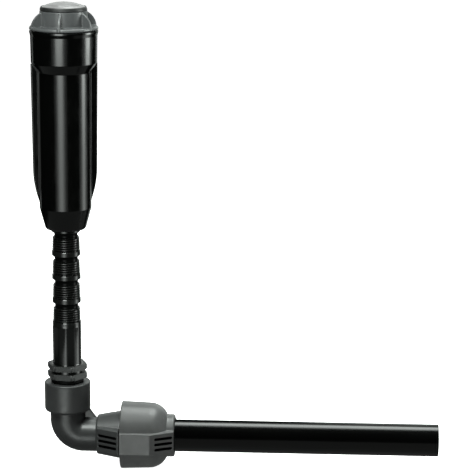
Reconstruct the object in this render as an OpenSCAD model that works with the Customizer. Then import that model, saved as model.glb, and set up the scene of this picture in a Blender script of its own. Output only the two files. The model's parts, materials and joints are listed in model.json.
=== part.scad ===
// Pop-up garden sprinkler (gear-driven rotor) on a cuttable riser, screwed into
// a compression elbow that grips a straight length of polyethylene pipe.
// Millimetres, +Z up. The origin is the centre of the pipe's open end; the pipe
// lies along X, and the riser axis stands at x = -pipe_reach.

/* [Supply pipe] */
// Outside diameter of the polyethylene pipe
pipe_od = 25; // [24.8:0.1:25]
// Wall thickness of the pipe
pipe_wall = 2.3; // [1.8:0.1:3]
// Distance from the riser axis to the pipe's open end
pipe_reach = 289; // [150:1:400]

/* [Compression elbow] */
// Outside radius of the upright threaded socket
socket_r = 17.8; // [17:0.1:18]
// Height of the socket's mouth above the pipe axis
socket_top = 43; // [42.5:0.1:43.2]
// Height of the socket's lower end
socket_bottom = 20; // [19:0.5:21]
// Outside radius of the bent tube
bend_tube_r = 13.5; // [13:0.1:14]
// Radius of the bend's centreline
bend_r = 12.5; // [12.2:0.1:13]
// Radius of the water way through the elbow
elbow_bore_r = 8.5; // [7:0.1:9]
// Distance from the riser axis to the start of the compression body
body_start = 23.4; // [23:0.1:24]
// Distance from the riser axis to the end of the body's cone
body_end = 41.5; // [41:0.1:41.8]
// Radius of the body's cone at its small end
body_r_small = 15.4; // [15:0.1:16]
// Radius of the body's cone at its large end
body_r_large = 18.6; // [18:0.1:19]
// Half height of the elbow's two grip wings
wing_half = 9.75; // [9:0.05:10]

/* [Union nut] */
// Distance from the riser axis to the nut's left face
nut_start = 42.2; // [42.2:0.1:43]
// Distance from the riser axis to the nut's right face
nut_end = 83.8; // [83:0.1:84]
// Radius of the nut at its left face
nut_r = 26.2; // [25.8:0.1:26.5]
// Radius of the nut's collar, where the pipe leaves it
nut_collar_r = 16.6; // [16:0.1:17]
// Half height of the nut's two raised grip panels
panel_half = 8.5; // [8:0.1:9]

/* [Riser] */
// Height of the riser's foot above the pipe axis
riser_bottom = 25; // [25:0.5:28]
// Length of one threaded unit, from groove to groove
unit_pitch = 18.6; // [18.6:0.1:18.7]
// Height of the lower edge of the highest collar, just under the can
collar_foot = 162.5; // [162.4:0.1:162.6]
// Radius of the water way through the riser
riser_bore_r = 7; // [6:0.1:7.2]
// Radius of the plain lower stretch
riser_plain_r = 11; // [10.6:0.1:11.1]
// Distance across the flats of the two wrench hexagons
hex_flats = 26.85; // [26:0.05:28]

/* [Can] */
// Height of the can's lower face above the pipe axis
can_bottom = 164.6; // [164.4:0.1:165]
// Height of the can's rim
can_top = 317.4; // [317:0.1:317.5]
// Outside radius of the can at its rim
rim_r = 25.9; // [25.6:0.1:26]
// Outside radius at the top of the barrel
barrel_r_top = 20.33; // [20.2:0.01:20.5]
// Outside radius at the foot of the barrel
barrel_r_foot = 19.95; // [19.9:0.01:20.1]
// Inside radius of the barrel
can_bore_r = 18.2; // [18:0.05:18.3]
// Thickness of the two side fins
fin_t = 2; // [1.6:0.1:2.4]
// Turn of the two side fins about the riser
fin_turn = 14; // [0:1:30]

/* [Screw cap] */
// Radius of the cap's flange
flange_r = 25.97; // [25.7:0.01:26]
// Radius of the cap's neck
neck_r = 18; // [17.8:0.1:18.2]
// Height of the top of the cap
cap_top = 331.4; // [331:0.1:331.5]
// Number of grip ribs
rib_count = 6; // [4:1:8]
// Thickness of one rib
rib_t = 1.9; // [1.5:0.1:2.5]
// Height that one turn of the cap's thread rises
cap_pitch = 3.5; // [3:0.5:4]

/* [Stem and turret] */
// Outside radius of the pop-up stem
stem_r = 14.5; // [14.4:0.05:14.5]
// Inside radius of the pop-up stem
stem_bore_r = 12.9; // [12.7:0.05:12.9]
// Radius of the rubber cover's rim
cover_r = 17.8; // [17.6:0.05:17.9]
// Radius of the turret's lid
lid_r = 16.6; // [16:0.1:16.8]
// Height of the top of the lid
lid_apex = 338; // [337:0.1:338.5]
// Number of turns of the retraction spring
spring_turns = 9; // [8:1:9]
// Diameter of the spring's wire
spring_wire = 1.5; // [1.2:0.1:1.6]

/* [Gear train] */
// Gear module, the pitch diameter over the number of teeth
gear_module = 0.4; // [0.4:0.01:0.4]
// Teeth on each small gear
small_teeth = 8; // [8:1:8]
// Teeth on each large gear
large_teeth = 20; // [20:1:20]
// Number of blades on the turbine
blade_count = 12; // [8:1:16]

/* [Hidden] */
$fn = 96;

eps = 0.01;
pipe_r = pipe_od / 2;
pipe_bore_r = pipe_r - pipe_wall;
pipe_start = 26.5;               // the pipe's inner end, against the elbow's stop
grip_end = nut_end + 0.4;        // the squeezed stretch of pipe ends just outside the nut
grip_squeeze = 0.2;              // how much the fitting squeezes the pipe's radius
pipe_socket_r = pipe_r + 0.1;
body_mouth = 62;                 // end of the compression body, inside the nut
body_collar_end = 44.5;          // the body steps down to its thread after this
body_turn_pitch = 3;             // spacing of the body's thread turns
body_turn_count = 5;
body_stop = 26;                  // floor of the socket that takes the pipe
web_t = 3;                       // thickness of the web across the bend
body_thread_r = 21.2;            // crests of the compression body's thread
body_thread_core = 20.2;
seal_seat = 54;                  // shoulder that the pipe's O-ring sits against
seal_seat_r = 16.9;
nut_bore_r = 22;
nut_dome_x = 64.3;               // centre of the nut's domed shoulder
nut_dome_h = 10.5;
nut_dome_r = 14.9;
nut_step = 65.2;                 // where the nut's thread bore meets its inner cone
grip_start = 64.2;
grip_stop = 76;
grip_r_big = 17.6;
grip_r_small = 13.9;
slot_t = 1.7;                    // thickness of the grip slots
slot_rise = 4.2;                 // spacing of the grip slots
slot_depth = 4.5;
wing_root = 12;                  // wings and panels start inside the body they stand on
wing_foot = 16;                  // half width of the elbow's wings at their low end
wing_tip = 25.5;                 // half width of the elbow's wings at their high end
panel_rise = 0.7;                // how far the nut's panels stand out from it
panel_bend = 66;                 // where the nut's panels start to slope in
panel_tip = 18.4;                // half width of the nut's panels at the collar
nut_slot_start = 70;

thread_root_r = 9.35;
groove_r = 8.9;
crest_r_top = 10.05;             // the tapered thread's first and last crests
crest_r_low = 10.45;
collar_r = 10.95;
collar_h = 3.6;
collar_chamfer = 1.5;
groove_h = 2.2;
unit_count = 5;
unit_crests = 6;                 // crests on one threaded unit
foot_crests = 10;                // crests on the thread inside the elbow
crest_rise = 0.45;               // where a crest starts and ends, as parts of its pitch
crest_fall = 0.65;
socket_thread_r = 10.6;          // bore of the elbow's threaded socket
socket_flare = 2;                // chamfer at the socket's mouth
riser_top = collar_foot + unit_pitch - collar_chamfer - groove_h;
hex_low = 46.6;                  // lower face of the lower hexagon
hex_h = [4.5, 4.3];
hex_gap = 2.3;
hex_turn = -7.8;                 // turn of the hexagons about the riser
rib_turn = -91.4;                // turn of the first grip rib about the riser

boss_top = 180;                  // top of the can's threaded inlet boss
boss_bore_r = 10.65;
collar_top = 292.3;              // foot of the can's wide collar
collar_r_foot = 24.94;
collar_r_head = 25.25;
shoulder_foot = 285.4;
barrel_foot = 182;
can_seat = 293;                  // ledge inside the can that carries the seal guide
collar_bore_r = 22.6;
fin_top = 290;
fin_bend = 212;                  // height where a fin's edge starts to curve in
fin_bend_r = 75;
fin_edge_r = 24.25;              // reach of a fin's edge where it starts to curve in

spring_r = 16.4;
foot_low = 183;                  // lower face of the stem's foot
foot_flange_h = 3;
foot_r = 17.7;
spring_low = foot_low + foot_flange_h;
turret_low = 300.3;
turret_r = stem_r - 0.1;
guide_r = stem_r + 0.06;         // running fit around the stem
cap_bottom = can_top + 0.1;
flange_top = 319.8;
rib_reach = 26.3;                // how far the grip ribs reach from the axis
rib_arc_r = 14.1;                // the ribs' outer edge is an arc about a point inside the neck
rib_arc_x = 12.5;
skirt_bottom = 299.8;            // lower end of the cap's threaded skirt
skirt_core_r = 21.5;
skirt_crest_r = 22.35;
skirt_turns = 4;
cover_h = 3;                     // height of the rubber rim
nozzle_axis_z = 317;             // where the nozzle's axis crosses the turret's axis
nozzle_tilt = 25;                // rise of the jet above level
nozzle_r = 4;
jet_r = 1.6;

gear_dist = gear_module * (small_teeth + large_teeth) / 2;
arbor_r = 0.95;
gear_bore_r = 1.0;
gear_t = 2.6;                    // face width of the large gears
pinion_t = 3.2;                  // face width of the small gears
case_low = 223;                  // lower face of the gear case
case_r = 11.5;
case_bore_r = 10.6;
case_floor = 1.6;
stage_rise = 3.4;                // height from one stage of gears to the next
train_low = case_low + case_floor + 0.4;
case_top = 247;
shaft_r = 3;
arbor_low = 209.2;               // lower end of the centre arbor, in the stator plate
arbor_len = 30;
plate_low = 208.2;               // underside of the stator plate
plate_t = 3;
turbine_low = 212;

// Points of an arc about (cx, cy), from angle a0 to angle a1
function arc(cx, cy, r, a0, a1, steps = 8) =
    [for (i = [0:steps]) let (a = a0 + (a1 - a0) * i / steps) [cx + r * cos(a), cy + r * sin(a)]];

// Places a part that is drawn about the Z axis onto the riser axis
module at_riser() {
    translate([-pipe_reach, 0, 0]) children();
}

// Turns a part drawn along Z to lie along X, with its foot x mm from the riser axis
module along_pipe(x = 0) {
    translate([x - pipe_reach, 0, 0]) rotate([0, 90, 0]) children();
}

// A plain ring or tube between two heights
module ring(r_out, r_in, low, high) {
    translate([0, 0, low]) difference() {
        cylinder(r = r_out, h = high - low);
        translate([0, 0, -1]) cylinder(r = r_in, h = high - low + 2);
    }
}

// A solid of revolution from [radius, height] points
module turned(points) {
    rotate_extrude() polygon(points);
}

// ---------- supply pipe and compression elbow ----------

module supply_pipe() {
    color("#17191a") along_pipe() difference() {
        union() {
            translate([0, 0, pipe_start])
                cylinder(r = pipe_r - grip_squeeze, h = grip_end - pipe_start + 1);
            translate([0, 0, grip_end]) cylinder(r = pipe_r, h = pipe_reach - grip_end);
        }
        translate([0, 0, pipe_start - 1]) cylinder(r = pipe_bore_r, h = pipe_reach);
    }
}

module elbow_socket() {
    turned(concat([[0, socket_bottom]],
        arc(socket_r - 2, socket_bottom + 2, 2, -90, 0),
        [[socket_r, socket_top - 0.8], [socket_r - 0.8, socket_top], [0, socket_top]]));
}

module elbow_bend(r) {
    translate([bend_r, 0, bend_r]) rotate([90, 0, 0]) rotate([0, 0, 180])
        rotate_extrude(angle = 90) intersection() {
            translate([bend_r, 0]) circle(r = r);
            translate([0, -2 * r]) square([bend_r + r + 1, 4 * r]);
        }
    translate([0, 0, bend_r]) cylinder(r = r, h = socket_bottom + 5 - bend_r);
    translate([bend_r, 0, 0]) rotate([0, 90, 0]) cylinder(r = r, h = body_start + 4 - bend_r);
}

module compression_body() {
    turn_profile = [[body_thread_core, 0], [body_thread_r, 0.7], [body_thread_r, 1.5],
        [body_thread_core, 2.2]];
    first_turn = body_collar_end + 1.5;
    rotate([0, 90, 0]) turned(concat(
        [[0, body_start], [body_r_small, body_start], [body_r_large, body_end],
            [body_r_large, body_collar_end], [body_thread_core, body_collar_end + 0.7]],
        [for (i = [0:body_turn_count - 1], p = turn_profile)
            [p[0], first_turn + i * body_turn_pitch + p[1]]],
        [[body_thread_core, body_mouth], [0, body_mouth]]));
}

// One pair of grip wings, drawn in plan and raised to their height, with their slots
module wing_pair(outline, slot_outline, half) {
    for (side = [0, 1]) mirror([0, side, 0]) difference() {
        translate([0, 0, -half]) linear_extrude(2 * half) polygon(outline);
        for (i = [-1:1]) translate([0, 0, i * slot_rise - slot_t / 2])
            linear_extrude(slot_t) polygon(slot_outline);
    }
}

module elbow() {
    wing_start = body_start + 0.6;
    web = [[8, 21], [17.5, 20.6], [22.6, 13.6], [23.6, 8], [8, 8]];
    slot = [[wing_start + 1.2, wing_foot - slot_depth + 2.2], [wing_start + 1.2, 30],
        [body_end - 1.5, 30], [body_end - 1.5, wing_tip - slot_depth - 0.8]];
    color("#3b3e40") at_riser() difference() {
        union() {
            elbow_socket();
            elbow_bend(bend_tube_r);
            translate([0, web_t / 2, 0]) rotate([90, 0, 0]) linear_extrude(web_t) polygon(web);
            compression_body();
            wing_pair([[wing_start, wing_root], [wing_start, wing_foot],
                [body_end, wing_tip], [body_end, wing_root]], slot, wing_half);
        }
        elbow_bend(elbow_bore_r);
        translate([0, 0, riser_bottom - 1]) cylinder(r = socket_thread_r, h = 30);
        translate([0, 0, socket_top - socket_flare]) cylinder(r1 = socket_thread_r,
            r2 = socket_thread_r + socket_flare + eps, h = socket_flare + eps);
        rotate([0, 90, 0]) {
            translate([0, 0, body_stop]) cylinder(r = pipe_socket_r, h = 60);
            translate([0, 0, seal_seat]) cylinder(r = seal_seat_r, h = 30);
        }
    }
}

module elbow_thread_seal() {
    color("#101112") at_riser() turned([[socket_thread_r, socket_top - 1.6],
        [12.1, socket_top - 0.1], [12.6, socket_top + 1], [12.6, hex_low - 0.6],
        [12, hex_low - 0.05], [10.95, hex_low - 0.05], [10.95, socket_top],
        [socket_thread_r, socket_top - 0.5]]);
}

module pipe_o_ring() {
    color("#141414") along_pipe(seal_seat + 0.1) turned([[pipe_r - 0.15, 0.8],
        [pipe_r + 0.6, 0], [seal_seat_r - 0.8, 0], [seal_seat_r - 0.1, 0.8],
        [seal_seat_r - 0.1, 3.6], [seal_seat_r - 0.8, 4.4], [pipe_r + 0.6, 4.4],
        [pipe_r - 0.15, 3.6]]);
}

module thrust_ring() {
    low = seal_seat + 4.7;
    color("#2c4f7a") along_pipe() turned([[pipe_r + 0.06, low], [seal_seat_r - 0.15, low],
        [seal_seat_r - 0.15, body_mouth + 0.1], [19, body_mouth + 0.1], [19, grip_start - 0.1],
        [pipe_r + 0.06, grip_start - 0.1]]);
}

module grip_ring() {
    split = 3;
    color("#d9d9d2") along_pipe() difference() {
        turned([[pipe_r + 0.06, grip_start], [grip_r_big, grip_start],
            [grip_r_small, grip_stop], [pipe_r + 0.06, grip_stop]]);
        translate([0, -split / 2, grip_start - 1]) cube([30, split, 20]);
    }
}

module union_nut() {
    cone_gap = 0.12;
    rise = asin((nut_collar_r - nut_dome_h) / nut_dome_r);
    dome = [for (p = arc(nut_dome_x, nut_dome_h, nut_dome_r, 90, rise, 10)) [p[1], p[0]]];
    panel_y = nut_r + panel_rise;
    slot_end = nut_end - 0.9;
    slot = [[nut_slot_start, nut_r - 1.2 - slot_depth], [nut_slot_start, 32], [slot_end, 32],
        [slot_end, panel_tip + 0.4 - slot_depth]];
    color("#585a5c") difference() {
        union() {
            along_pipe() turned(concat([[0, nut_start], [nut_r - 0.4, nut_start],
                [nut_r, nut_start + 0.4]], dome, [[nut_collar_r, nut_end - 0.8],
                [nut_collar_r - 0.8, nut_end], [0, nut_end]]));
            at_riser() wing_pair([[nut_start, wing_root], [nut_start, panel_y],
                [panel_bend, panel_y], [nut_end, panel_tip], [nut_end, wing_root]],
                slot, panel_half);
        }
        along_pipe() {
            translate([0, 0, nut_start - 1]) cylinder(r = nut_bore_r, h = nut_step - nut_start + 1);
            turned([[0, nut_step - 1], [grip_r_big + cone_gap, nut_step - 1],
                [grip_r_big + cone_gap, grip_start], [grip_r_small + cone_gap, grip_stop],
                [grip_r_small + cone_gap, grip_stop + 0.3], [pipe_r + 0.4, grip_stop + 0.3],
                [pipe_r + 0.4, nut_end + 1], [0, nut_end + 1]]);
        }
    }
}

// ---------- riser ----------

// Crests of a thread, drawn as rings, as points from its low end upwards
function crests(low, len, count, r_first, r_last) =
    [for (i = [0:count - 1])
        let (pitch = len / count, base = low + i * pitch,
            crest = r_first + (r_last - r_first) * i / (count - 1))
        each [[thread_root_r, base + 0.1], [crest, base + crest_rise * pitch],
            [crest, base + crest_fall * pitch]]];

// Outline of one threaded unit, from its collar's lower edge upwards
function riser_unit(foot) =
    let (thread_low = foot + collar_h,
        thread_len = unit_pitch - collar_h - collar_chamfer - groove_h)
    concat([[groove_r, foot - collar_chamfer], [collar_r, foot], [collar_r, thread_low]],
        crests(thread_low, thread_len, unit_crests, crest_r_low, crest_r_top),
        [[groove_r, thread_low + thread_len]]);

// Outline of the thread below the hexagons, from its foot upwards
function riser_foot_thread() =
    let (len = hex_low - 1.5 - riser_bottom)
    concat([[riser_bore_r, riser_bottom], [groove_r, riser_bottom]],
        crests(riser_bottom, len, foot_crests, crest_r_top, crest_r_low),
        [[groove_r, riser_bottom + len], [crest_r_low, hex_low]]);

module riser() {
    hex_r = hex_flats / 2 / cos(30);
    unit_feet = [for (i = [unit_count - 1:-1:0]) collar_foot - i * unit_pitch];
    plain_low = hex_low + hex_h[0] + hex_gap + hex_h[1];
    color("#1b1d1e") at_riser() difference() {
        union() {
            turned(concat(riser_foot_thread(),
                [[riser_plain_r, hex_low], [riser_plain_r, unit_feet[0] - collar_chamfer]],
                [for (foot = unit_feet) each riser_unit(foot)],
                [[riser_bore_r, riser_top]]));
            for (level = [[hex_low, hex_h[0]], [plain_low - hex_h[1], hex_h[1]]])
                translate([0, 0, level[0]]) intersection() {
                    rotate([0, 0, hex_turn]) cylinder(r = hex_r, h = level[1], $fn = 6);
                    turned([[0, 0], [hex_r - 0.9, 0], [hex_r - 0.1, 0.5],
                        [hex_r - 0.1, level[1] - 0.4], [hex_r - 0.8, level[1]], [0, level[1]]]);
                }
            ring(12, riser_bore_r, hex_low + 1, plain_low - 1);
        }
        translate([0, 0, riser_bottom - 1]) cylinder(r = riser_bore_r, h = riser_top);
    }
}

// ---------- can ----------

module can_fin() {
    fall = fin_edge_r - barrel_r_foot + 0.6;
    bend_steps = 8;
    bend_angle = acos(1 - fall / fin_bend_r);
    translate([0, fin_t / 2, 0]) rotate([90, 0, 0]) linear_extrude(fin_t)
        polygon(concat([[barrel_r_foot - 1, fin_top + 3], [collar_r_foot, fin_top + 3],
            [collar_r_foot, fin_top]],
            arc(fin_edge_r - fin_bend_r, fin_bend, fin_bend_r, 0, -bend_angle, bend_steps),
            [[barrel_r_foot - 1, barrel_foot + 2]]));
}

module can() {
    color("#0c0d0d") at_riser() difference() {
        union() {
            turned(concat([[0, can_bottom], [14.2, can_bottom]],
                arc(14.2, can_bottom + 1.5, 1.5, -90, -15, 4),
                [[barrel_r_foot - 0.3, barrel_foot - 1.2], [barrel_r_foot, barrel_foot],
                    [barrel_r_top, shoulder_foot], [collar_r_foot, collar_top],
                    [collar_r_head, can_top - 5], [rim_r, can_top - 1.9],
                    [rim_r, can_top], [0, can_top]]));
            for (side = [0, 180]) rotate([0, 0, fin_turn + side]) can_fin();
        }
        difference() {
            turned([[0, 168], [13.2, 168], [17.6, 182], [can_bore_r, 183.5], [can_bore_r, 286.2],
                [20.4, 289.6], [20.4, can_seat], [collar_bore_r, can_seat],
                [collar_bore_r, can_top + 1], [0, can_top + 1]]);
            translate([0, 0, 160]) cylinder(r = 12.8, h = boss_top - 160);
        }
        translate([0, 0, 160]) cylinder(r = boss_bore_r, h = 30);
        translate([0, 0, 160]) cylinder(r = collar_r + 0.15, h = collar_foot + collar_h + 0.4 - 160);
    }
}

// ---------- cartridge: guide, seals and spring ----------

module seal_guide() {
    flange_low = can_seat + 0.1;
    flange_high = can_seat + 4;
    flange_edge = collar_bore_r - 0.2;
    nose_r = 15.2;
    root_r = 17.2;
    tube_top = can_top - 1.4;
    color("#26282a") at_riser() turned([[guide_r, can_seat - 6], [nose_r, can_seat - 6],
        [nose_r, can_seat], [root_r, can_seat], [root_r, flange_low], [flange_edge, flange_low],
        [flange_edge, flange_high], [root_r, flange_high], [nose_r + 1.2, tube_top],
        [guide_r, tube_top]]);
}

module wiper_seal() {
    low = can_top - 1.3;
    high = cap_top - 3.2;
    lip_r = 16.3;
    waist_r = 15.6;
    hollow_r = guide_r + 0.5;
    color("#161616") at_riser() turned([[guide_r, low], [lip_r, low], [lip_r, low + 2.4],
        [waist_r, low + 4], [waist_r, high - 3], [lip_r, high - 2], [lip_r, high],
        [guide_r, high], [guide_r, high - 1.6], [hollow_r, high - 3], [hollow_r, low + 2],
        [guide_r, low + 1.2]]);
}

module cap_gasket() {
    color("#141414") at_riser() ring(collar_bore_r - 0.3, 19.4, 297.1, 299.6);
}

// The wire is swept along its helix as one skin
module retraction_spring() {
    sides = 6;
    steps_per_turn = 16;
    rise = can_seat - spring_low - spring_wire - 0.2;
    steps = spring_turns * steps_per_turn;
    wire_r = spring_wire / 2;
    points = [for (i = [0:steps], k = [0:sides - 1])
        let (a = 360 * i / steps_per_turn, b = 360 * k / sides, r = spring_r + wire_r * cos(b))
        [r * cos(a), r * sin(a), spring_low + 0.1 + wire_r + rise * i / steps + wire_r * sin(b)]];
    skin = [for (i = [0:steps - 1], k = [0:sides - 1])
        let (n = (k + 1) % sides, p = i * sides, q = p + sides) [p + k, p + n, q + n, q + k]];
    ends = [[for (k = [sides - 1:-1:0]) k], [for (k = [0:sides - 1]) steps * sides + k]];
    color("#b9bbbd") at_riser() polyhedron(points, concat(skin, ends), convexity = 10);
}

// ---------- screw cap ----------

module cap_rib() {
    foot = cap_bottom + 0.2;
    inner = neck_r - 1;
    edge = arc(rib_arc_x, cap_bottom - 0.1, rib_arc_r, 15, 71, 10);
    translate([0, rib_t / 2, 0]) rotate([90, 0, 0]) linear_extrude(rib_t)
        polygon(concat([[inner, foot], [rib_reach, foot], [rib_reach, foot + 2.9]], edge));
}

module screw_cap() {
    turn_profile = [[skirt_core_r, 0.4], [skirt_crest_r, 1.1], [skirt_crest_r, 1.9],
        [skirt_core_r, 2.6]];
    inner_r = 16.5;
    mouth_r = stem_r + 0.7;
    color("#5f6264") at_riser() difference() {
        union() {
            turned(concat([[0, skirt_bottom], [skirt_core_r, skirt_bottom]],
                [for (i = [0:skirt_turns - 1], p = turn_profile)
                    [p[0], skirt_bottom + 0.6 + i * cap_pitch + p[1]]],
                [[skirt_core_r, cap_bottom], [flange_r - 0.3, cap_bottom],
                    [flange_r, cap_bottom + 0.3], [flange_r, cap_bottom + 1.3],
                    [flange_r - 0.8, flange_top], [neck_r + 0.6, flange_top],
                    [neck_r, flange_top + 0.6], [neck_r, cap_top - 0.4],
                    [neck_r - 0.4, cap_top], [0, cap_top]]));
            for (i = [0:rib_count - 1]) rotate([0, 0, rib_turn + i * 360 / rib_count]) cap_rib();
        }
        turned([[0, skirt_bottom - 1], [inner_r + 3, skirt_bottom - 1],
            [inner_r + 3, can_top - 3.4], [inner_r, can_top + 0.6], [inner_r, cap_top - 3],
            [mouth_r, cap_top - 3], [mouth_r, cap_top + 1], [0, cap_top + 1]]);
    }
}

// ---------- stem and what it carries ----------

module stem_tube() {
    color("#202224") at_riser() ring(stem_r, stem_bore_r, foot_low + 3.2, turret_low - 0.2);
}

module stem_foot() {
    color("#232527") at_riser() turned([[13.3, foot_low], [foot_r, foot_low],
        [foot_r, spring_low - 0.05], [stem_r + 0.6, spring_low - 0.05],
        [stem_r + 0.6, spring_low + 4], [stem_r + 0.04, spring_low + 4],
        [stem_r + 0.04, foot_low + 3.1], [13.3, foot_low + 3.1]]);
}

module drain_seal() {
    color("#141414") at_riser() turned([[14, foot_low - 1.4], [14.6, foot_low - 1.8],
        [16, foot_low - 1.8], [16.6, foot_low - 1.4], [16.6, foot_low - 0.05],
        [14, foot_low - 0.05]]);
}

module filter_basket() {
    basket_r = 12.2;
    wall = 1.2;
    rim_h = 1.6;
    top = plate_low - 0.2;
    low = foot_low + 0.6;
    slot_count = 18;
    slot_w = 1.2;
    slot_h = 8;
    slot_step = 9.5;
    color("#8d9094") at_riser() difference() {
        union() {
            translate([0, 0, low]) cylinder(r = basket_r, h = top - low);
            translate([0, 0, top - rim_h]) cylinder(r = stem_bore_r - 0.05, h = rim_h);
        }
        translate([0, 0, low + wall]) cylinder(r = basket_r - wall, h = 40);
        for (i = [0:slot_count / 2 - 1], level = [0:1]) rotate([0, 0, i * 360 / slot_count])
            translate([-20, -slot_w / 2, low + 3 + level * slot_step]) cube([40, slot_w, slot_h]);
    }
}

module stator_plate() {
    port_count = 6;
    port_ring_r = 9;
    port_r = 1.5;
    color("#c9cbc6") at_riser() difference() {
        translate([0, 0, plate_low]) cylinder(r = stem_bore_r - 0.05, h = plate_t);
        translate([0, 0, arbor_low]) cylinder(r = arbor_r, h = plate_t);
        for (i = [0:port_count - 1]) rotate([0, 0, i * 360 / port_count])
            translate([port_ring_r, 0, plate_low - 1]) cylinder(r = port_r, h = plate_t + 2);
    }
}

// Level of the lower face of stage n's large gear, counted from the case floor
function stage_z(n) = train_low + n * stage_rise;

// A spur gear as an extruded outline with straight-flanked teeth
module spur(teeth, thick, turn = 0) {
    pitch_r = gear_module * teeth / 2;
    tip_r = pitch_r + 0.85 * gear_module;
    root_r = pitch_r - 1.15 * gear_module;
    tooth = 360 / teeth;
    root_part = teeth < 12 ? 0.17 : 0.25;
    pitch_part = 0.215;
    tip_part = 0.09;
    linear_extrude(thick) polygon([for (i = [0:teeth - 1],
        p = [[root_r, -root_part], [pitch_r, -pitch_part], [tip_r, -tip_part],
            [tip_r, tip_part], [pitch_r, pitch_part], [root_r, root_part]])
        let (a = turn + (i + p[1]) * tooth) [p[0] * cos(a), p[0] * sin(a)]]);
}

// A large gear with a pinion on top, bored to run on an arbor
module compound_gear(turn_large, turn_small) {
    difference() {
        union() {
            spur(large_teeth, gear_t, turn_large);
            spur(small_teeth, gear_t + pinion_t, turn_small);
        }
        translate([0, 0, -1]) cylinder(r = gear_bore_r, h = 20);
    }
}

module gear_case() {
    web_count = 4;
    case_web_t = 1.6;
    case_web_h = 18;
    pinion_hole_r = 2.2;
    color("#b4b6b0") at_riser() difference() {
        union() {
            translate([0, 0, case_low]) cylinder(r = case_r, h = case_top - case_low);
            for (i = [0:web_count - 1]) rotate([0, 0, 45 + i * 360 / web_count])
                translate([0, -case_web_t / 2, case_low + 2])
                    cube([stem_bore_r - 0.05, case_web_t, case_web_h]);
        }
        translate([0, 0, case_low + case_floor]) cylinder(r = case_bore_r, h = 40);
        translate([0, 0, case_low - 1]) cylinder(r = pinion_hole_r, h = 10);
        translate([gear_dist, 0, case_low + 0.6]) cylinder(r = arbor_r, h = 10);
    }
}

module gear_case_lid() {
    lid_t = 2;
    color("#a9aca6") at_riser() difference() {
        translate([0, 0, case_top + 0.05]) cylinder(r = case_r, h = lid_t);
        translate([0, 0, case_top - 1]) cylinder(r = shaft_r + 0.05, h = 10);
        translate([gear_dist, 0, case_top - 1]) cylinder(r = arbor_r, h = 2.4);
    }
}

module center_arbor() {
    color("#c4c7c9") at_riser() translate([0, 0, arbor_low])
        cylinder(r = arbor_r - 0.005, h = arbor_len);
}

module lay_arbor() {
    color("#c4c7c9") at_riser() translate([gear_dist, 0, case_low + 0.6])
        cylinder(r = arbor_r - 0.005, h = case_top - case_low + 0.2);
}

module thrust_washer() {
    inner_r = 9.6;
    color("#d8d4c4") at_riser()
        ring(stem_r - 0.3, inner_r, turret_low - 0.15, turret_low - 0.05);
}

module turbine() {
    hub_r = 4.2;
    tip_r = 11.6;
    blade_h = 6;
    blade_t = 0.8;
    blade_pitch = 35;
    neck = 1.9;
    color("#e3e5e1") at_riser() translate([0, 0, turbine_low]) difference() {
        union() {
            cylinder(r = hub_r, h = blade_h);
            for (i = [0:blade_count - 1]) rotate([0, 0, i * 360 / blade_count])
                translate([hub_r - 0.6, 0, blade_h / 2]) rotate([blade_pitch, 0, 0])
                    translate([0, -blade_t / 2, blade_t / 2 - blade_h / 2])
                        cube([tip_r - hub_r, blade_t, blade_h - blade_t]);
            cylinder(r = neck, h = case_low - turbine_low - 0.4);
            spur(small_teeth, train_low - turbine_low + pinion_t, 0);
        }
        translate([0, 0, -1]) cylinder(r = gear_bore_r, h = 30);
    }
}

module gear_1() {
    color("#d7c9a4") at_riser() translate([gear_dist, 0, stage_z(0) + 0.3])
        compound_gear(180 + 180 / large_teeth, 0);
}

module gear_2() {
    color("#cfd3c9") at_riser() translate([0, 0, stage_z(1) + 0.3])
        compound_gear(180 / large_teeth, 0);
}

module gear_3() {
    color("#d7c9a4") at_riser() translate([gear_dist, 0, stage_z(2) + 0.3])
        compound_gear(180 + 180 / large_teeth, 0);
}

module output_gear() {
    color("#cfd3c9") at_riser() difference() {
        union() {
            translate([0, 0, stage_z(3) + 0.3]) {
                spur(large_teeth, gear_t, 180 / large_teeth);
                cylinder(r = shaft_r, h = turret_low + 6 - stage_z(3));
            }
        }
        translate([0, 0, stage_z(3) - 1])
            cylinder(r = gear_bore_r, h = arbor_low + arbor_len + 2.8 - stage_z(3));
    }
}

module arc_ring() {
    low = 286;
    height = 4;
    inner_r = 10.4;
    stop_t = 2;
    color("#4b6c9c") at_riser() union() {
        ring(stem_bore_r - 0.06, inner_r, low, low + height);
        rotate([0, 0, 30]) translate([inner_r - 3, -stop_t / 2, low])
            cube([3.4, stop_t, height]);
    }
}

// ---------- turret ----------

module nozzle_bore(r, depth) {
    translate([0, 0, nozzle_axis_z]) rotate([90 - nozzle_tilt, 0, 0])
        translate([0, 0, turret_r - depth + 1]) cylinder(r = r, h = 10 + depth);
}

module turret_body() {
    wall = 1.6;
    floor_t = 8;
    roof_t = 2;
    port_count = 6;
    color("#202224") at_riser() difference() {
        translate([0, 0, turret_low]) cylinder(r = turret_r, h = cap_top - turret_low);
        translate([0, 0, turret_low + floor_t])
            cylinder(r = turret_r - wall, h = cap_top - turret_low - floor_t - roof_t);
        translate([0, 0, turret_low - 1]) cylinder(r = shaft_r + 0.02, h = floor_t);
        for (i = [0:port_count - 1]) rotate([0, 0, i * 360 / port_count])
            translate([7.5, 0, turret_low - 1]) cylinder(r = 2, h = floor_t + 4);
        nozzle_bore(nozzle_r + 0.05, 5);
    }
}

module nozzle() {
    color("#6d7072") at_riser() difference() {
        intersection() {
            nozzle_bore(nozzle_r, 4.6);
            translate([0, 0, nozzle_axis_z - 12]) cylinder(r = turret_r - 0.1, h = 24);
        }
        nozzle_bore(jet_r, 12);
    }
}

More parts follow.
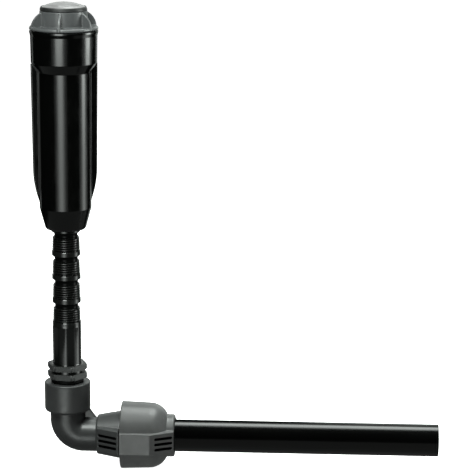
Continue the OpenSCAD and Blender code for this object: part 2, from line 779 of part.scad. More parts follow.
module lid_ring() {
    low = cap_top + 0.1;
    seat_r = lid_r + 0.05;
    color("#1c1d1e") at_riser() turned([[lid_r - 1.5, low], [cover_r - 0.3, low],
        [cover_r, low + 0.3], [cover_r, low + 1.2], [seat_r + 0.25, low + cover_h],
        [seat_r, low + cover_h], [seat_r, low + 1], [lid_r - 1.5, low + 1]]);
}

module lid() {
    low = cap_top + 0.05;
    rise = 3.7;
    edge = lid_apex - rise;
    dome_r = (lid_r * lid_r + rise * rise) / (2 * rise);
    color("#aeb1b2") at_riser() turned(concat([[0, low], [lid_r - 1.55, low],
        [lid_r - 1.55, low + 1.15], [lid_r, low + 1.15]],
        arc(0, lid_apex - dome_r, dome_r, asin((edge - lid_apex + dome_r) / dome_r), 90, 12)));
}

supply_pipe();
elbow();
elbow_thread_seal();
pipe_o_ring();
riser();
can();
thrust_ring();
grip_ring();
union_nut();
seal_guide();
wiper_seal();
cap_gasket();
retraction_spring();
screw_cap();
stem_tube();
stem_foot();
drain_seal();
filter_basket();
stator_plate();
gear_case();
gear_case_lid();
center_arbor();
lay_arbor();
thrust_washer();
turbine();
gear_1();
gear_2();
gear_3();
output_gear();
turret_body();
nozzle();
lid_ring();
lid();
arc_ring();
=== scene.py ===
"""Looks for the pop-up sprinkler on its riser, compression elbow and pipe.

Shapes are worked out in millimetres about the riser axis or the pipe axis, from
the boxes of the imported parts, and turned into metres when a mesh is made.
"""
import json
import math

import bmesh
import bpy
from mathutils import Matrix, Vector


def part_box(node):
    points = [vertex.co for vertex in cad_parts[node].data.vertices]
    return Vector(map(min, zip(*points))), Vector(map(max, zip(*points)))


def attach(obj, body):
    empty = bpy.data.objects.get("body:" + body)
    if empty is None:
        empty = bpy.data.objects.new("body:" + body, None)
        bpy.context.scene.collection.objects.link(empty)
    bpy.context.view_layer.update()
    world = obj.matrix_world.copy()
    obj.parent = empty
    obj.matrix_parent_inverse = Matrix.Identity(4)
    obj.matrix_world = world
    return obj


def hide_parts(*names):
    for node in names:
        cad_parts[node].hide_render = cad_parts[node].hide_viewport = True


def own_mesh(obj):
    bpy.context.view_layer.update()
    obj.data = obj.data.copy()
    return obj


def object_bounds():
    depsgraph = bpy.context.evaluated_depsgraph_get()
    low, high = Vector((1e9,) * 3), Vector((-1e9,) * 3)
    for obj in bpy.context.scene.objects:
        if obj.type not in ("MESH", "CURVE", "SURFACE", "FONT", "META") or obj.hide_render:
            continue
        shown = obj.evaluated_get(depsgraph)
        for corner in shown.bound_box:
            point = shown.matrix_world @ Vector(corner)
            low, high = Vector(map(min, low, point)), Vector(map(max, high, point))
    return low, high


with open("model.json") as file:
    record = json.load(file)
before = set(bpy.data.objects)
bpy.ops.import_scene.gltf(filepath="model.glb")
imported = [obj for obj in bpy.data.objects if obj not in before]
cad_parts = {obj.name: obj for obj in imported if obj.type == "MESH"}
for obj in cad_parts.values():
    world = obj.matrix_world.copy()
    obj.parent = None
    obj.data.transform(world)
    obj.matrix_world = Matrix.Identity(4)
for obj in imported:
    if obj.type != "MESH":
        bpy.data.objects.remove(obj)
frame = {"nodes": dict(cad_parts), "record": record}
cad_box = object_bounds()

MM = 0.001
SEGMENTS = 192              # around every turned piece
FILLET_STEPS = 5


# ---------------------------------------------------------------- places

def span(node):
    """Lowest and highest corner of a CAD node, in millimetres."""
    low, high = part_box(node)
    return low / MM, high / MM


CAN_LOW, CAN_HIGH = span("can")
RISER_LOW, RISER_HIGH = span("riser")
PIPE_LOW, PIPE_HIGH = span("supply_pipe")
RISER_X = (CAN_LOW.x + CAN_HIGH.x) / 2
NUT_END = span("union_nut")[1].x - RISER_X      # along the pipe, from the riser axis
PIPE_R = (PIPE_HIGH.z - PIPE_LOW.z) / 2


# ---------------------------------------------------------------- the riser's sizes

THREAD_PITCH = 1.814
THREAD_DEPTH = 1.1
ROWS_PER_PITCH = 12
UNIT_CREST = (10.65, 10.3)      # crest radius at the foot and the head of a length
INLET_CREST = (10.0, 10.5)
UNIT_PITCH = 18.6               # from one cuttable length to the next
UNIT_COUNT = 5
COLLAR_R = 10.95
COLLAR_H = 3.6
COLLAR_CHAMFER = 1.5
GROOVE_R = 8.9
GROOVE_H = 2.2
PLAIN_R = 11.05
PLAIN_SIDES = 12
PLAIN_FACETING = 0.3            # 0 is round, 1 is a sharp polygon
PLAIN_TURN = 11.25              # degrees that its facets are turned from the hexagons
HEX_FLATS = 27.5
HEX_TURN = -7.8                 # degrees that a corner is turned from +X
HEX_CORNER_R = HEX_FLATS / 2 / math.cos(math.pi / 6)
HEX_HEIGHTS = (4.5, 4.3)
HEX_GAP = 2.3
HEX_LOW = 46.6
HEX_HIGH = HEX_LOW + sum(HEX_HEIGHTS) + HEX_GAP
RISER_BORE = 7.0
COLLAR_FOOT = RISER_HIGH.z - UNIT_PITCH + COLLAR_CHAMFER + GROOVE_H
THREAD_FOOT = COLLAR_FOOT - (UNIT_COUNT - 1) * UNIT_PITCH


# ---------------------------------------------------------------- mesh helpers

def rounded(corners):
    """Corners (r, z, fillet) of a closed outline, with each fillet turned into an arc."""
    out = []
    count = len(corners)
    for i, (r, z, fillet) in enumerate(corners):
        here = Vector((r, z))
        if fillet <= 0:
            out.append((r, z))
            continue
        back = Vector(corners[i - 1][:2]) - here
        on = Vector(corners[(i + 1) % count][:2]) - here
        half = back.angle(on) / 2
        reach = min(fillet / math.tan(half), 0.49 * back.length, 0.49 * on.length)
        radius = reach * math.tan(half)
        centre = here + (back.normalized() + on.normalized()).normalized() * radius / math.sin(half)
        start = here + back.normalized() * reach - centre
        sweep = start.angle_signed(here + on.normalized() * reach - centre)
        for k in range(FILLET_STEPS + 1):
            turned = Matrix.Rotation(-sweep * k / FILLET_STEPS, 2) @ start
            out.append(tuple(centre + turned))
    return out


def arc(centre_z, radius, start, end, steps):
    """Points (r, z, 0) along an arc centred on the axis, angles in degrees."""
    out = []
    for k in range(steps + 1):
        a = math.radians(start + (end - start) * k / steps)
        out.append((radius * math.cos(a), centre_z + radius * math.sin(a), 0))
    return out


def on_riser(x, y, z):
    return Vector((RISER_X + x, y, z)) * MM


def on_pipe(x, y, z):
    """A point drawn about +Z, laid along +X from the riser axis."""
    return Vector((RISER_X + z, y, -x)) * MM


def grid_mesh(bm, rows, place, closed):
    """Joins rows of equally many points into a skin of quads.

    The rows themselves close into a ring, or else the two end rows get a cap each.
    """
    verts = [[bm.verts.new(place(*p)) for p in row] for row in rows]
    pairs = list(zip(verts, verts[1:]))
    if closed:
        pairs.append((verts[-1], verts[0]))
    for a, b in pairs:
        for i in range(len(a)):
            j = (i + 1) % len(a)
            bm.faces.new((a[i], a[j], b[j], b[i]))
    if not closed:
        bm.faces.new(verts[0])
        bm.faces.new(list(reversed(verts[-1])))


def lathe(bm, outline, place=on_riser):
    """A closed solid of revolution from a closed outline of (r, z)."""
    rows = []
    for r, z in outline:
        row = []
        for k in range(SEGMENTS):
            a = 2 * math.pi * k / SEGMENTS
            row.append((r * math.cos(a), r * math.sin(a), z))
        rows.append(row)
    grid_mesh(bm, rows, place, closed=True)


def new_object(name, bm, sharp=38):
    bmesh.ops.remove_doubles(bm, verts=bm.verts, dist=1e-7)
    bmesh.ops.recalc_face_normals(bm, faces=bm.faces)
    mesh = bpy.data.meshes.new(name)
    bm.to_mesh(mesh)
    bm.free()
    obj = bpy.data.objects.new(name, mesh)
    bpy.context.scene.collection.objects.link(obj)
    mesh.shade_smooth()
    mesh.set_sharp_from_angle(angle=math.radians(sharp))
    return obj


def finish_piece(obj, body, slot, node):
    """Gives a piece its finish and its body, and hides the CAD node it stands for."""
    if obj.data.materials:
        obj.data.materials[0] = FINISH[slot]
    else:
        obj.data.materials.append(FINISH[slot])
    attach(obj, body)
    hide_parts(node)
    return obj


def turned_piece(name, corners, body, slot, node, place=on_riser):
    bm = bmesh.new()
    lathe(bm, rounded(corners), place)
    return finish_piece(new_object(name, bm), body, slot, node)


def apply_modifiers(obj):
    deps = bpy.context.evaluated_depsgraph_get()
    mesh = bpy.data.meshes.new_from_object(obj.evaluated_get(deps))
    old = obj.data
    obj.modifiers.clear()
    obj.data = mesh
    bpy.data.meshes.remove(old)


def moulded_copy(name, node, voxel, smoothing):
    """A copy of a CAD node with every edge and inner corner rounded, as a moulding has."""
    obj = bpy.data.objects.new(name, frame["nodes"][node].data.copy())
    bpy.context.scene.collection.objects.link(obj)
    remesh = obj.modifiers.new("skin", "REMESH")
    remesh.mode = "VOXEL"
    remesh.voxel_size = voxel * MM
    remesh.use_smooth_shade = True
    smooth = obj.modifiers.new("round", "SMOOTH")
    smooth.factor = 0.5
    smooth.iterations = smoothing
    apply_modifiers(obj)
    obj.data.shade_smooth()
    return obj


# ---------------------------------------------------------------- materials

class Nodes:
    """Short spellings for building a material's nodes."""

    def __init__(self, name):
        self.material = bpy.data.materials.new(name)
        self.material.use_nodes = True
        self.tree = self.material.node_tree
        self.shader = self.tree.nodes["Principled BSDF"]

    def add(self, kind, **settings):
        node = self.tree.nodes.new(kind)
        for key, value in settings.items():
            setattr(node, key, value)
        return node

    def link(self, source, target):
        self.tree.links.new(source, target)

    def place(self, stretch=(1, 1, 1)):
        """Object coordinates, stretched, so a pattern rides with its piece."""
        coords = self.add("ShaderNodeTexCoord")
        mapping = self.add("ShaderNodeMapping")
        mapping.inputs["Scale"].default_value = stretch
        self.link(coords.outputs["Object"], mapping.inputs["Vector"])
        return mapping.outputs["Vector"]

    def noise(self, where, scale, detail, roughness=0.55):
        node = self.add("ShaderNodeTexNoise")
        node.inputs["Scale"].default_value = scale
        node.inputs["Detail"].default_value = detail
        node.inputs["Roughness"].default_value = roughness
        self.link(where, node.inputs["Vector"])
        return node.outputs["Fac"]

    def remap(self, source, low, high, low_in=0.3, high_in=0.7):
        node = self.add("ShaderNodeMapRange")
        node.inputs["From Min"].default_value = low_in
        node.inputs["From Max"].default_value = high_in
        node.inputs["To Min"].default_value = low
        node.inputs["To Max"].default_value = high
        self.link(source, node.inputs["Value"])
        return node.outputs["Result"]

    def feed(self, slot, value):
        """Gives an input a number, a colour or another node's output."""
        if isinstance(value, (int, float)):
            slot.default_value = value
        elif isinstance(value, tuple):
            slot.default_value = (*value, 1)
        else:
            self.link(value, slot)

    def calc(self, operation, first, second):
        node = self.add("ShaderNodeMath", operation=operation)
        self.feed(node.inputs[0], first)
        self.feed(node.inputs[1], second)
        return node.outputs[0]

    def mix(self, factor, first, second):
        """A colour between two, by factor."""
        node = self.add("ShaderNodeMix", data_type="RGBA")
        colours = [s for s in node.inputs if s.type == "RGBA"]
        self.feed(colours[0], first)
        self.feed(colours[1], second)
        self.link(factor, node.inputs["Factor"])
        return next(s for s in node.outputs if s.type == "RGBA")

    def bump(self, heights):
        """Chains bumps: heights is a list of (source, strength, distance in metres)."""
        normal = None
        for source, strength, distance in heights:
            node = self.add("ShaderNodeBump")
            node.inputs["Strength"].default_value = strength
            node.inputs["Distance"].default_value = distance
            self.link(source, node.inputs["Height"])
            if normal:
                self.link(normal, node.inputs["Normal"])
            normal = node.outputs["Normal"]
        self.link(normal, self.shader.inputs["Normal"])

    def sharp_edge_mask(self, low, high):
        """0 on flats, 1 on the sharpest outer edges."""
        geometry = self.add("ShaderNodeNewGeometry")
        return self.remap(geometry.outputs["Pointiness"], 0.0, 1.0, low, high)


def shade(colour, factor):
    return tuple(min(1.0, c * factor) for c in colour)


def moulded(name, colour, rough, grain=0.12, stretch=(1, 1, 1), edge_lift=0.0, spread=0.10):
    """Injection-moulded plastic: faint flow mottling, fine spark-eroded grain, patches of lighter
    colour on the sharpest outer edges.
    """
    m = Nodes(name)
    where = m.place(stretch)
    flow = m.noise(where, 55.0, 4.0)
    grains = m.noise(where, 2600.0, 2.0)
    smear = m.noise(where, 240.0, 3.0)
    base = m.mix(m.remap(flow, 0, 1), shade(colour, 1 - spread), shade(colour, 1 + spread))
    # the sharpest outer edges turn lighter in noisy patches
    if edge_lift:
        lifted_edges = m.calc("MULTIPLY", m.sharp_edge_mask(0.52, 0.62), m.remap(smear, 0.2 * edge_lift, edge_lift))
        base = m.mix(lifted_edges, base, shade(colour, 2.2))
    m.link(base, m.shader.inputs["Base Color"])
    m.link(m.remap(smear, rough - 0.05, rough + 0.06), m.shader.inputs["Roughness"])
    m.bump([(grains, grain, 0.00006), (smear, grain * 0.6, 0.0002)])
    return m.material


def cut_riser(name, colour, grip_colour, grip, thread_colour, thread):
    """Glossy black moulding with spark-eroded wrench hexagons and a thread whose roots get painted
    shade.

    grip is (least radius, low, high) of the hexagons. thread is (root radius, crest
    radius, low, high) of the cut part, whose roots get painted shade: darker than the crests and
    less glossy.
    """
    m = Nodes(name)
    where = m.place()
    flow = m.noise(where, 70.0, 4.0)
    grains = m.noise(where, 2600.0, 2.0)
    smear = m.noise(where, 300.0, 3.0)
    axes = m.add("ShaderNodeSeparateXYZ")
    m.link(where, axes.inputs[0])
    height = axes.outputs["Z"]
    flat = m.add("ShaderNodeCombineXYZ")
    m.link(m.calc("SUBTRACT", axes.outputs["X"], RISER_X * MM), flat.inputs["X"])
    m.link(axes.outputs["Y"], flat.inputs["Y"])
    length = m.add("ShaderNodeVectorMath", operation="LENGTH")
    m.link(flat.outputs[0], length.inputs[0])
    radius = length.outputs["Value"]

    def past(source, limit):
        """0 below a limit in millimetres and 1 above it."""
        return m.remap(source, 0, 1, (limit - 0.01) * MM, (limit + 0.01) * MM)

    def inverted(factor):
        return m.remap(factor, 1, 0, 0, 1)

    def between(low, high):
        return m.calc("MULTIPLY", past(height, low), inverted(past(height, high)))

    grip_r, grip_low, grip_high = grip
    on_grip = m.calc("MULTIPLY", past(radius, grip_r), between(grip_low, grip_high))
    root, crest, low, high = thread
    # a mask from the thread roots (0) to the crests (1): the crests take the lighter thread colour,
    # the roots keep the darker base
    unshaded_crest = m.remap(radius, 0, 1, root * MM, crest * MM)
    in_thread = between(low, high)
    base = m.mix(m.remap(flow, 0, 1), shade(colour, 0.85), shade(colour, 1.2))
    base = m.mix(on_grip, base, grip_colour)
    m.link(m.mix(m.calc("MULTIPLY", in_thread, unshaded_crest), base, thread_colour),
           m.shader.inputs["Base Color"])
    # painted shade: the thread roots lose most of their gloss
    painted_root_shade = m.calc("MULTIPLY", in_thread, inverted(unshaded_crest))
    m.link(m.remap(painted_root_shade, 0.5, 0.04, 0, 1), m.shader.inputs["Specular IOR Level"])
    rough = m.calc("ADD", m.remap(smear, 0.12, 0.18), m.remap(on_grip, 0.0, 0.26, 0, 1))
    m.link(rough, m.shader.inputs["Roughness"])
    m.bump([(grains, 0.05, 0.00005), (smear, 0.04, 0.0001)])
    return m.material


def extruded_pipe(name, colour):
    """Extruded polyethylene: die lines along its length over a slight waviness."""
    m = Nodes(name)
    die_lines = m.noise(m.place((4, 900, 900)), 1.0, 3.0)
    wave = m.noise(m.place((18, 40, 40)), 1.0, 2.0)
    scuffs = m.noise(m.place((60, 900, 900)), 1.0, 5.0, 0.7)
    base = m.mix(m.remap(wave, 0, 1), shade(colour, 0.85), shade(colour, 1.2))
    base = m.mix(m.remap(scuffs, 0, 0.04, 0.62, 0.78), base, (0.11, 0.11, 0.11))
    m.link(base, m.shader.inputs["Base Color"])
    m.link(m.remap(die_lines, 0.17, 0.23), m.shader.inputs["Roughness"])
    m.bump([(die_lines, 0.05, 0.00005), (wave, 0.10, 0.0004)])
    return m.material


def rubber(name, colour, rough, shine=0.35):
    m = Nodes(name)
    where = m.place()
    fine = m.noise(where, 1800.0, 3.0)
    bloom = m.noise(where, 90.0, 4.0)
    m.link(m.mix(m.remap(bloom, 0, 1), shade(colour, 0.8), shade(colour, 1.35)),
           m.shader.inputs["Base Color"])
    m.link(m.remap(bloom, rough - 0.06, rough + 0.08), m.shader.inputs["Roughness"])
    m.shader.inputs["Specular IOR Level"].default_value = shine
    m.bump([(fine, 0.2, 0.00005)])
    return m.material


def steel(name, colour, stretch):
    """Drawn or ground stainless steel with fine lines one way."""
    m = Nodes(name)
    lines = m.noise(m.place(stretch), 1.0, 4.0)
    m.shader.inputs["Metallic"].default_value = 1.0
    m.link(m.mix(m.remap(lines, 0, 1), shade(colour, 0.85), shade(colour, 1.1)),
           m.shader.inputs["Base Color"])
    m.link(m.remap(lines, 0.18, 0.34), m.shader.inputs["Roughness"])
    m.bump([(lines, 0.15, 0.00003)])
    return m.material


FINISH = {
    "pipe_black": extruded_pipe("pipe_black", (0.0040, 0.0042, 0.0041)),
    "elbow_grey": moulded("elbow_grey", (0.047, 0.049, 0.049), 0.34, 0.10, edge_lift=0.35),
    "nut_grey": moulded("nut_grey", (0.172, 0.175, 0.173), 0.34, 0.10, edge_lift=0.35),
    # the thread roots of the riser carry painted shade, darker and less glossy than the crests
    "riser_black": cut_riser(
        "riser_black", (0.0020, 0.0023, 0.0021), (0.010, 0.011, 0.0105),
        (12.2, HEX_LOW - 0.1, HEX_HIGH + 0.05),
        (0.0055, 0.006, 0.0055), (9.5, 10.25, THREAD_FOOT, RISER_HIGH.z)),
    "can_black": moulded("can_black", (0.0012, 0.0013, 0.0012), 0.15, 0.02, stretch=(1, 1, 0.35)),
    # near-black, as painted shade on the slot walls
    "slot_painted_shade": moulded("slot_painted_shade", (0.0015, 0.0016, 0.0016), 0.6),
    "cap_grey": moulded("cap_grey", (0.066, 0.069, 0.070), 0.33, 0.10, edge_lift=0.35),
    "lid_grey": moulded("lid_grey", (0.186, 0.181, 0.184), 0.32, 0.08, spread=0.04),
    "seal_rubber": rubber("seal_rubber", (0.0015, 0.0015, 0.0015), 0.5, 0.06),
    "cover_rubber": rubber("cover_rubber", (0.013, 0.0135, 0.0135), 0.42),
    "inner_black": moulded("inner_black", (0.020, 0.021, 0.022), 0.30, 0.10),
    "spring_steel": steel("spring_steel", (0.62, 0.63, 0.64), (300, 300, 300)),
    "arbor_steel": steel("arbor_steel", (0.66, 0.67, 0.68), (2000, 2000, 40)),
    "thrust_blue": moulded("thrust_blue", (0.03, 0.09, 0.22), 0.35),
    "grip_white": moulded("grip_white", (0.62, 0.62, 0.58), 0.33, spread=0.04),
    "gear_acetal": moulded("gear_acetal", (0.66, 0.62, 0.50), 0.30, spread=0.05),
    "works_grey": moulded("works_grey", (0.45, 0.46, 0.44), 0.38, spread=0.05),
    "filter_grey": moulded("filter_grey", (0.28, 0.29, 0.31), 0.38),
    "arc_blue": moulded("arc_blue", (0.07, 0.15, 0.33), 0.35),
    "nozzle_grey": moulded("nozzle_grey", (0.16, 0.17, 0.175), 0.34),
    "washer_ptfe": moulded("washer_ptfe", (0.70, 0.68, 0.60), 0.40, spread=0.04),
}
for part in frame["record"]["subparts"]:
    node = frame["nodes"][part["node"]]
    node.data.materials.clear()
    node.data.materials.append(FINISH[part["material_slot"]])


# ---------------------------------------------------------------- supply pipe

def make_pipe():
    """The exposed stretch is full size; the gripped end is a little squeezed."""
    bore = PIPE_R - 2.3
    start, end = PIPE_LOW.x - RISER_X, PIPE_HIGH.x - RISER_X
    grip_end = NUT_END + 0.4
    gripped_r = PIPE_R - 0.2
    corners = [(bore, start, 0.3), (gripped_r, start, 0.6), (gripped_r, grip_end - 0.2, 0),
               (PIPE_R, grip_end, 0), (PIPE_R, end, 0.35), (bore, end, 0.35)]
    return turned_piece("supply_pipe_tube", corners, "housing", "pipe_black", "supply_pipe",
                        place=on_pipe)


# ---------------------------------------------------------------- riser

def polygon_r(angle, sides, corner_r, turn, blend=1.0):
    """Radius of a regular polygon in a direction, softened towards its circle."""
    step = 2 * math.pi / sides
    off = (angle - turn) % step - step / 2
    flat = corner_r * math.cos(step / 2) / math.cos(off)
    return blend * flat + (1 - blend) * corner_r


def thread_row(height, low, high, crest_low, crest_high):
    """Radius round one row of a tapered helical thread that fades at both ends."""
    t = (height - low) / (high - low)
    crest = crest_low + (crest_high - crest_low) * t
    fade_in, fade_out = 0.7, 0.9
    fade = min(1.0, max(0.0, min((height - low) / fade_in, (high - height) / fade_out)))
    root_width, flank = 0.16, 0.44                        # shares of half a pitch

    def radius(angle):
        phase = (height / THREAD_PITCH - angle / (2 * math.pi)) % 1.0
        tooth = 1 - abs(2 * phase - 1)                    # 0 at the root, 1 at the crest
        tooth = min(1.0, max(0.0, (tooth - root_width) / flank))
        return crest - THREAD_DEPTH * (1 - tooth * fade)
    return radius


def make_riser():
    hex_turn = math.radians(HEX_TURN)
    plain_turn = hex_turn + math.radians(PLAIN_TURN)

    def ring(r):
        return lambda angle: r

    def plain(extra=0.0):
        return lambda angle: extra + polygon_r(
            angle, PLAIN_SIDES, PLAIN_R, plain_turn, PLAIN_FACETING)

    def hexagon(limit):
        return lambda angle: min(polygon_r(angle, 6, HEX_CORNER_R, hex_turn), limit)

    rows = [(RISER_LOW.z, ring(RISER_BORE)), (RISER_LOW.z, ring(GROOVE_R - 0.3)),
            (RISER_LOW.z + 0.3, ring(GROOVE_R))]

    def add_thread(low, high, crest_low, crest_high):
        count = int((high - low) / THREAD_PITCH * ROWS_PER_PITCH)
        for k in range(count + 1):
            z = low + (high - low) * k / count
            rows.append((z, thread_row(z, low, high, crest_low, crest_high)))

    add_thread(RISER_LOW.z + 0.4, HEX_LOW - 1.6, *INLET_CREST)
    rows.append((HEX_LOW - 1.5, ring(GROOVE_R + 0.2)))
    rows.append((HEX_LOW - 0.05, ring(INLET_CREST[1])))

    level = HEX_LOW
    for height in HEX_HEIGHTS:
        rows.extend([(level, ring(11.6)), (level, hexagon(HEX_CORNER_R - 0.9)),
                     (level + 0.45, hexagon(HEX_CORNER_R - 0.1)),
                     (level + height - 0.4, hexagon(HEX_CORNER_R - 0.1)),
                     (level + height, hexagon(HEX_CORNER_R - 0.8)), (level + height, ring(11.9))])
        level += height + HEX_GAP
    level -= HEX_GAP
    rows.append((level, plain(0.25)))
    rows.append((level + 0.35, plain(0.05)))
    rows.append((level + 0.8, plain()))

    feet = [THREAD_FOOT + i * UNIT_PITCH for i in range(UNIT_COUNT)]
    rows.append((feet[0] - 0.6, plain()))
    rows.append((feet[0] - 0.2, ring(PLAIN_R)))
    for index, unit in enumerate(feet):
        if index:
            rows.extend([(unit - COLLAR_CHAMFER - 0.15, ring(GROOVE_R)),
                         (unit - COLLAR_CHAMFER + 0.1, ring(GROOVE_R + 0.12)),
                         (unit - 0.15, ring(COLLAR_R - 0.25))])
        rows.extend([(unit + 0.1, ring(COLLAR_R)), (unit + COLLAR_H - 0.35, ring(COLLAR_R)),
                     (unit + COLLAR_H - 0.1, ring(COLLAR_R - 0.2)),
                     (unit + COLLAR_H, ring(9.75))])
        low = unit + COLLAR_H + 0.02
        high = unit + UNIT_PITCH - COLLAR_CHAMFER - GROOVE_H
        add_thread(low, high, *UNIT_CREST)
        if index < len(feet) - 1:
            rows.append((high + 0.1, ring(GROOVE_R + 0.1)))
            rows.append((high + 0.4, ring(GROOVE_R)))
    rows.append((RISER_HIGH.z, ring(GROOVE_R - 0.2)))
    rows.append((RISER_HIGH.z, ring(RISER_BORE)))

    points = []
    for z, radius in rows:
        row = []
        for k in range(SEGMENTS):
            a = hex_turn + 2 * math.pi * k / SEGMENTS
            r = radius(a)
            row.append((r * math.cos(a), r * math.sin(a), z))
        points.append(row)
    bm = bmesh.new()
    grid_mesh(bm, points, on_riser, closed=True)
    finish_piece(new_object("cuttable_riser", bm, 34), "housing", "riser_black", "riser")


# ---------------------------------------------------------------- can

FIN_HALF = 0.9              # half the thickness of a side fin
FIN_FILLET = 0.4            # radius of the fillet at a fin's root
FIN_TURN = 14               # degrees that the fins are turned about the riser
BARREL_FOOT_R = 19.95
BARREL_TOP_R = 20.33
HEAD_R = 24.94              # the wide upper part of the can
BARREL_FOOT = 182.0
SHOULDER_FOOT = 285.4
SHOULDER_TOP = 292.3
RIM_GAP = 0.6               # the rim stops this far short of the cap's flange


def make_can():
    low, high = CAN_LOW.z, CAN_HIGH.z
    rim_r = (CAN_HIGH.y - CAN_LOW.y) / 2
    mouth_r, inner_r, boss_r = 22.6, 18.2, 12.8
    ledge, boss_top, trough = 293, 180, 168
    corners = [(11.0, low, 0.3), (14.6, low, 1.0), (15.7, low + 1.4, 0.9),
               (BARREL_FOOT_R - 0.15, BARREL_FOOT - 0.6, 2.0), (BARREL_TOP_R, SHOULDER_FOOT, 1.6),
               (HEAD_R, SHOULDER_TOP, 1.8), (25.25, high - 4.4, 0.4), (rim_r, high - 2.0, 0.25),
               (rim_r, high - RIM_GAP, 0.3), (mouth_r, high - RIM_GAP, 0.4), (mouth_r, ledge, 0.2),
               (20.4, ledge, 0.2), (20.4, 289.6, 0.5), (inner_r, 286.2, 0.5), (inner_r, 183.5, 1),
               (13.2, trough, 0.5), (boss_r, trough, 0), (boss_r, boss_top, 0.3),
               (10.7, boss_top, 0.3), (10.7, 166.5, 0), (11.0, 166.4, 0)]
    bm = bmesh.new()
    lathe(bm, rounded(corners))
    for side in (1, -1):
        add_fin(bm, side)
    finish_piece(new_object("can_shell", bm, 40), "housing", "can_black", "can")


def barrel_r(z):
    """Outside radius of the can at a height, from its foot to its wide upper part."""
    if z < SHOULDER_FOOT:
        widening = (BARREL_TOP_R - BARREL_FOOT_R) * (z - BARREL_FOOT)
        return BARREL_FOOT_R + widening / (SHOULDER_FOOT - BARREL_FOOT)
    t = min(1.0, (z - SHOULDER_FOOT) / (SHOULDER_TOP - SHOULDER_FOOT))
    return BARREL_TOP_R + (HEAD_R - BARREL_TOP_R) * t


def fin_edge(z):
    """Outer edge of a side fin: almost straight, then curving in at its foot."""
    bend, bend_r, reach = 212.0, 75.0, 24.55
    if z >= bend:
        return reach + 0.8 * (z - bend) / (291.0 - bend)
    return reach - bend_r + math.sqrt(bend_r ** 2 - (bend - z) ** 2)


def add_fin(bm, side):
    """A thin fin with a rounded edge and a fillet where it meets the barrel."""
    top = SHOULDER_TOP - 0.6
    foot = 185.5
    turn = Matrix.Rotation(math.radians(FIN_TURN + (0 if side > 0 else 180)), 3, "Z")
    rows = []
    count = 90
    for k in range(count + 1):
        z = foot + (top - foot) * k / count
        wall = barrel_r(z)
        edge = max(fin_edge(z), wall + 0.02)
        height = edge - wall
        spread = min(FIN_FILLET, height * 0.8)
        tip = min(FIN_HALF, height * 0.5)
        half = [(wall - 1.2, tip + spread)]
        for i in range(11):
            a = math.radians(9 * i)
            half.append((wall + spread * (1 - math.cos(a)) - 0.05,
                         tip + spread * (1 - math.sin(a))))
        # close pairs of points keep the flat face flat where it meets the arcs
        half.extend([(wall + spread + 0.05, tip), (edge - tip - 0.1, tip)])
        for i in range(9):
            a = math.radians(90 * i / 8)
            half.append((edge - tip * (1 - math.sin(a)), tip * math.cos(a)))
        loop = half + [(r, -y) for r, y in reversed(half)]
        rows.append([turn @ Vector((r, y, z)) for r, y in loop])
    grid_mesh(bm, rows, on_riser, closed=False)


# ---------------------------------------------------------------- the other visible pieces

SLOT_T = 2.2                # thickness of a grip slot, which has round ends
SLOT_RISE = 4.2             # from one slot to the next


def cut_slots(obj, outline):
    """Cuts three level slots through both wings; outline is (x, y) from the riser axis."""
    bm = bmesh.new()
    half = SLOT_T / 2
    middle = sum((Vector(p) for p in outline), Vector((0, 0))) / len(outline)
    for side in (1, -1):
        for level in (-SLOT_RISE, 0, SLOT_RISE):
            rows = []
            for k in range(9):
                a = math.radians(-90 + 22.5 * k)
                inset = half * (1 - math.cos(a))
                row = []
                for x, y in outline:
                    inward_x = x + (inset if x < middle.x else -inset)
                    outward_y = y + (inset * 0.6 if y < middle.y else 0)
                    row.append((inward_x, side * outward_y, level + half * math.sin(a)))
                rows.append(row)
            grid_mesh(bm, rows, on_riser, closed=False)
    cutter = new_object(f"{obj.name}_slots", bm)
    # the slot walls take a near-black material: painted shade in the recesses
    cutter.data.materials.append(FINISH["slot_painted_shade"])
    if not obj.data.materials:
        obj.data.materials.append(None)
    cut = obj.modifiers.new("slots", "BOOLEAN")
    cut.operation = "DIFFERENCE"
    cut.object = cutter
    cut.solver = "EXACT"
    cut.material_mode = "TRANSFER"
    apply_modifiers(obj)
    bpy.data.objects.remove(cutter)
    obj.data.shade_smooth()
    obj.data.set_sharp_from_angle(angle=math.radians(45))


def make_fitting():
    """The elbow and the union nut; a slot's outline slants with the wing it is cut in."""
    slot_start, slot_end = 25.2, 40.2
    elbow = moulded_copy("compression_elbow", "elbow", voxel=0.38, smoothing=4)
    cut_slots(elbow, ((slot_start, 13.4), (slot_start, 30), (slot_end, 30), (slot_end, 20.0)))
    finish_piece(elbow, "housing", "elbow_grey", "elbow")
    slot_start, slot_end = 69.5, NUT_END - 0.8
    nut = moulded_copy("compression_nut", "union_nut", voxel=0.38, smoothing=4)
    cut_slots(nut, ((slot_start, 20.3), (slot_start, 32), (slot_end, 32), (slot_end, 14.2)))
    finish_piece(nut, "nut", "nut_grey", "union_nut")
    return elbow, nut


def make_cap():
    cap = moulded_copy("ribbed_cap", "screw_cap", voxel=0.3, smoothing=4)
    finish_piece(cap, "cap", "cap_grey", "screw_cap")


LID_STEP_R = 12.5           # the lid's inner disc lies a little lower than its sloping border
LID_STEP = 0.35


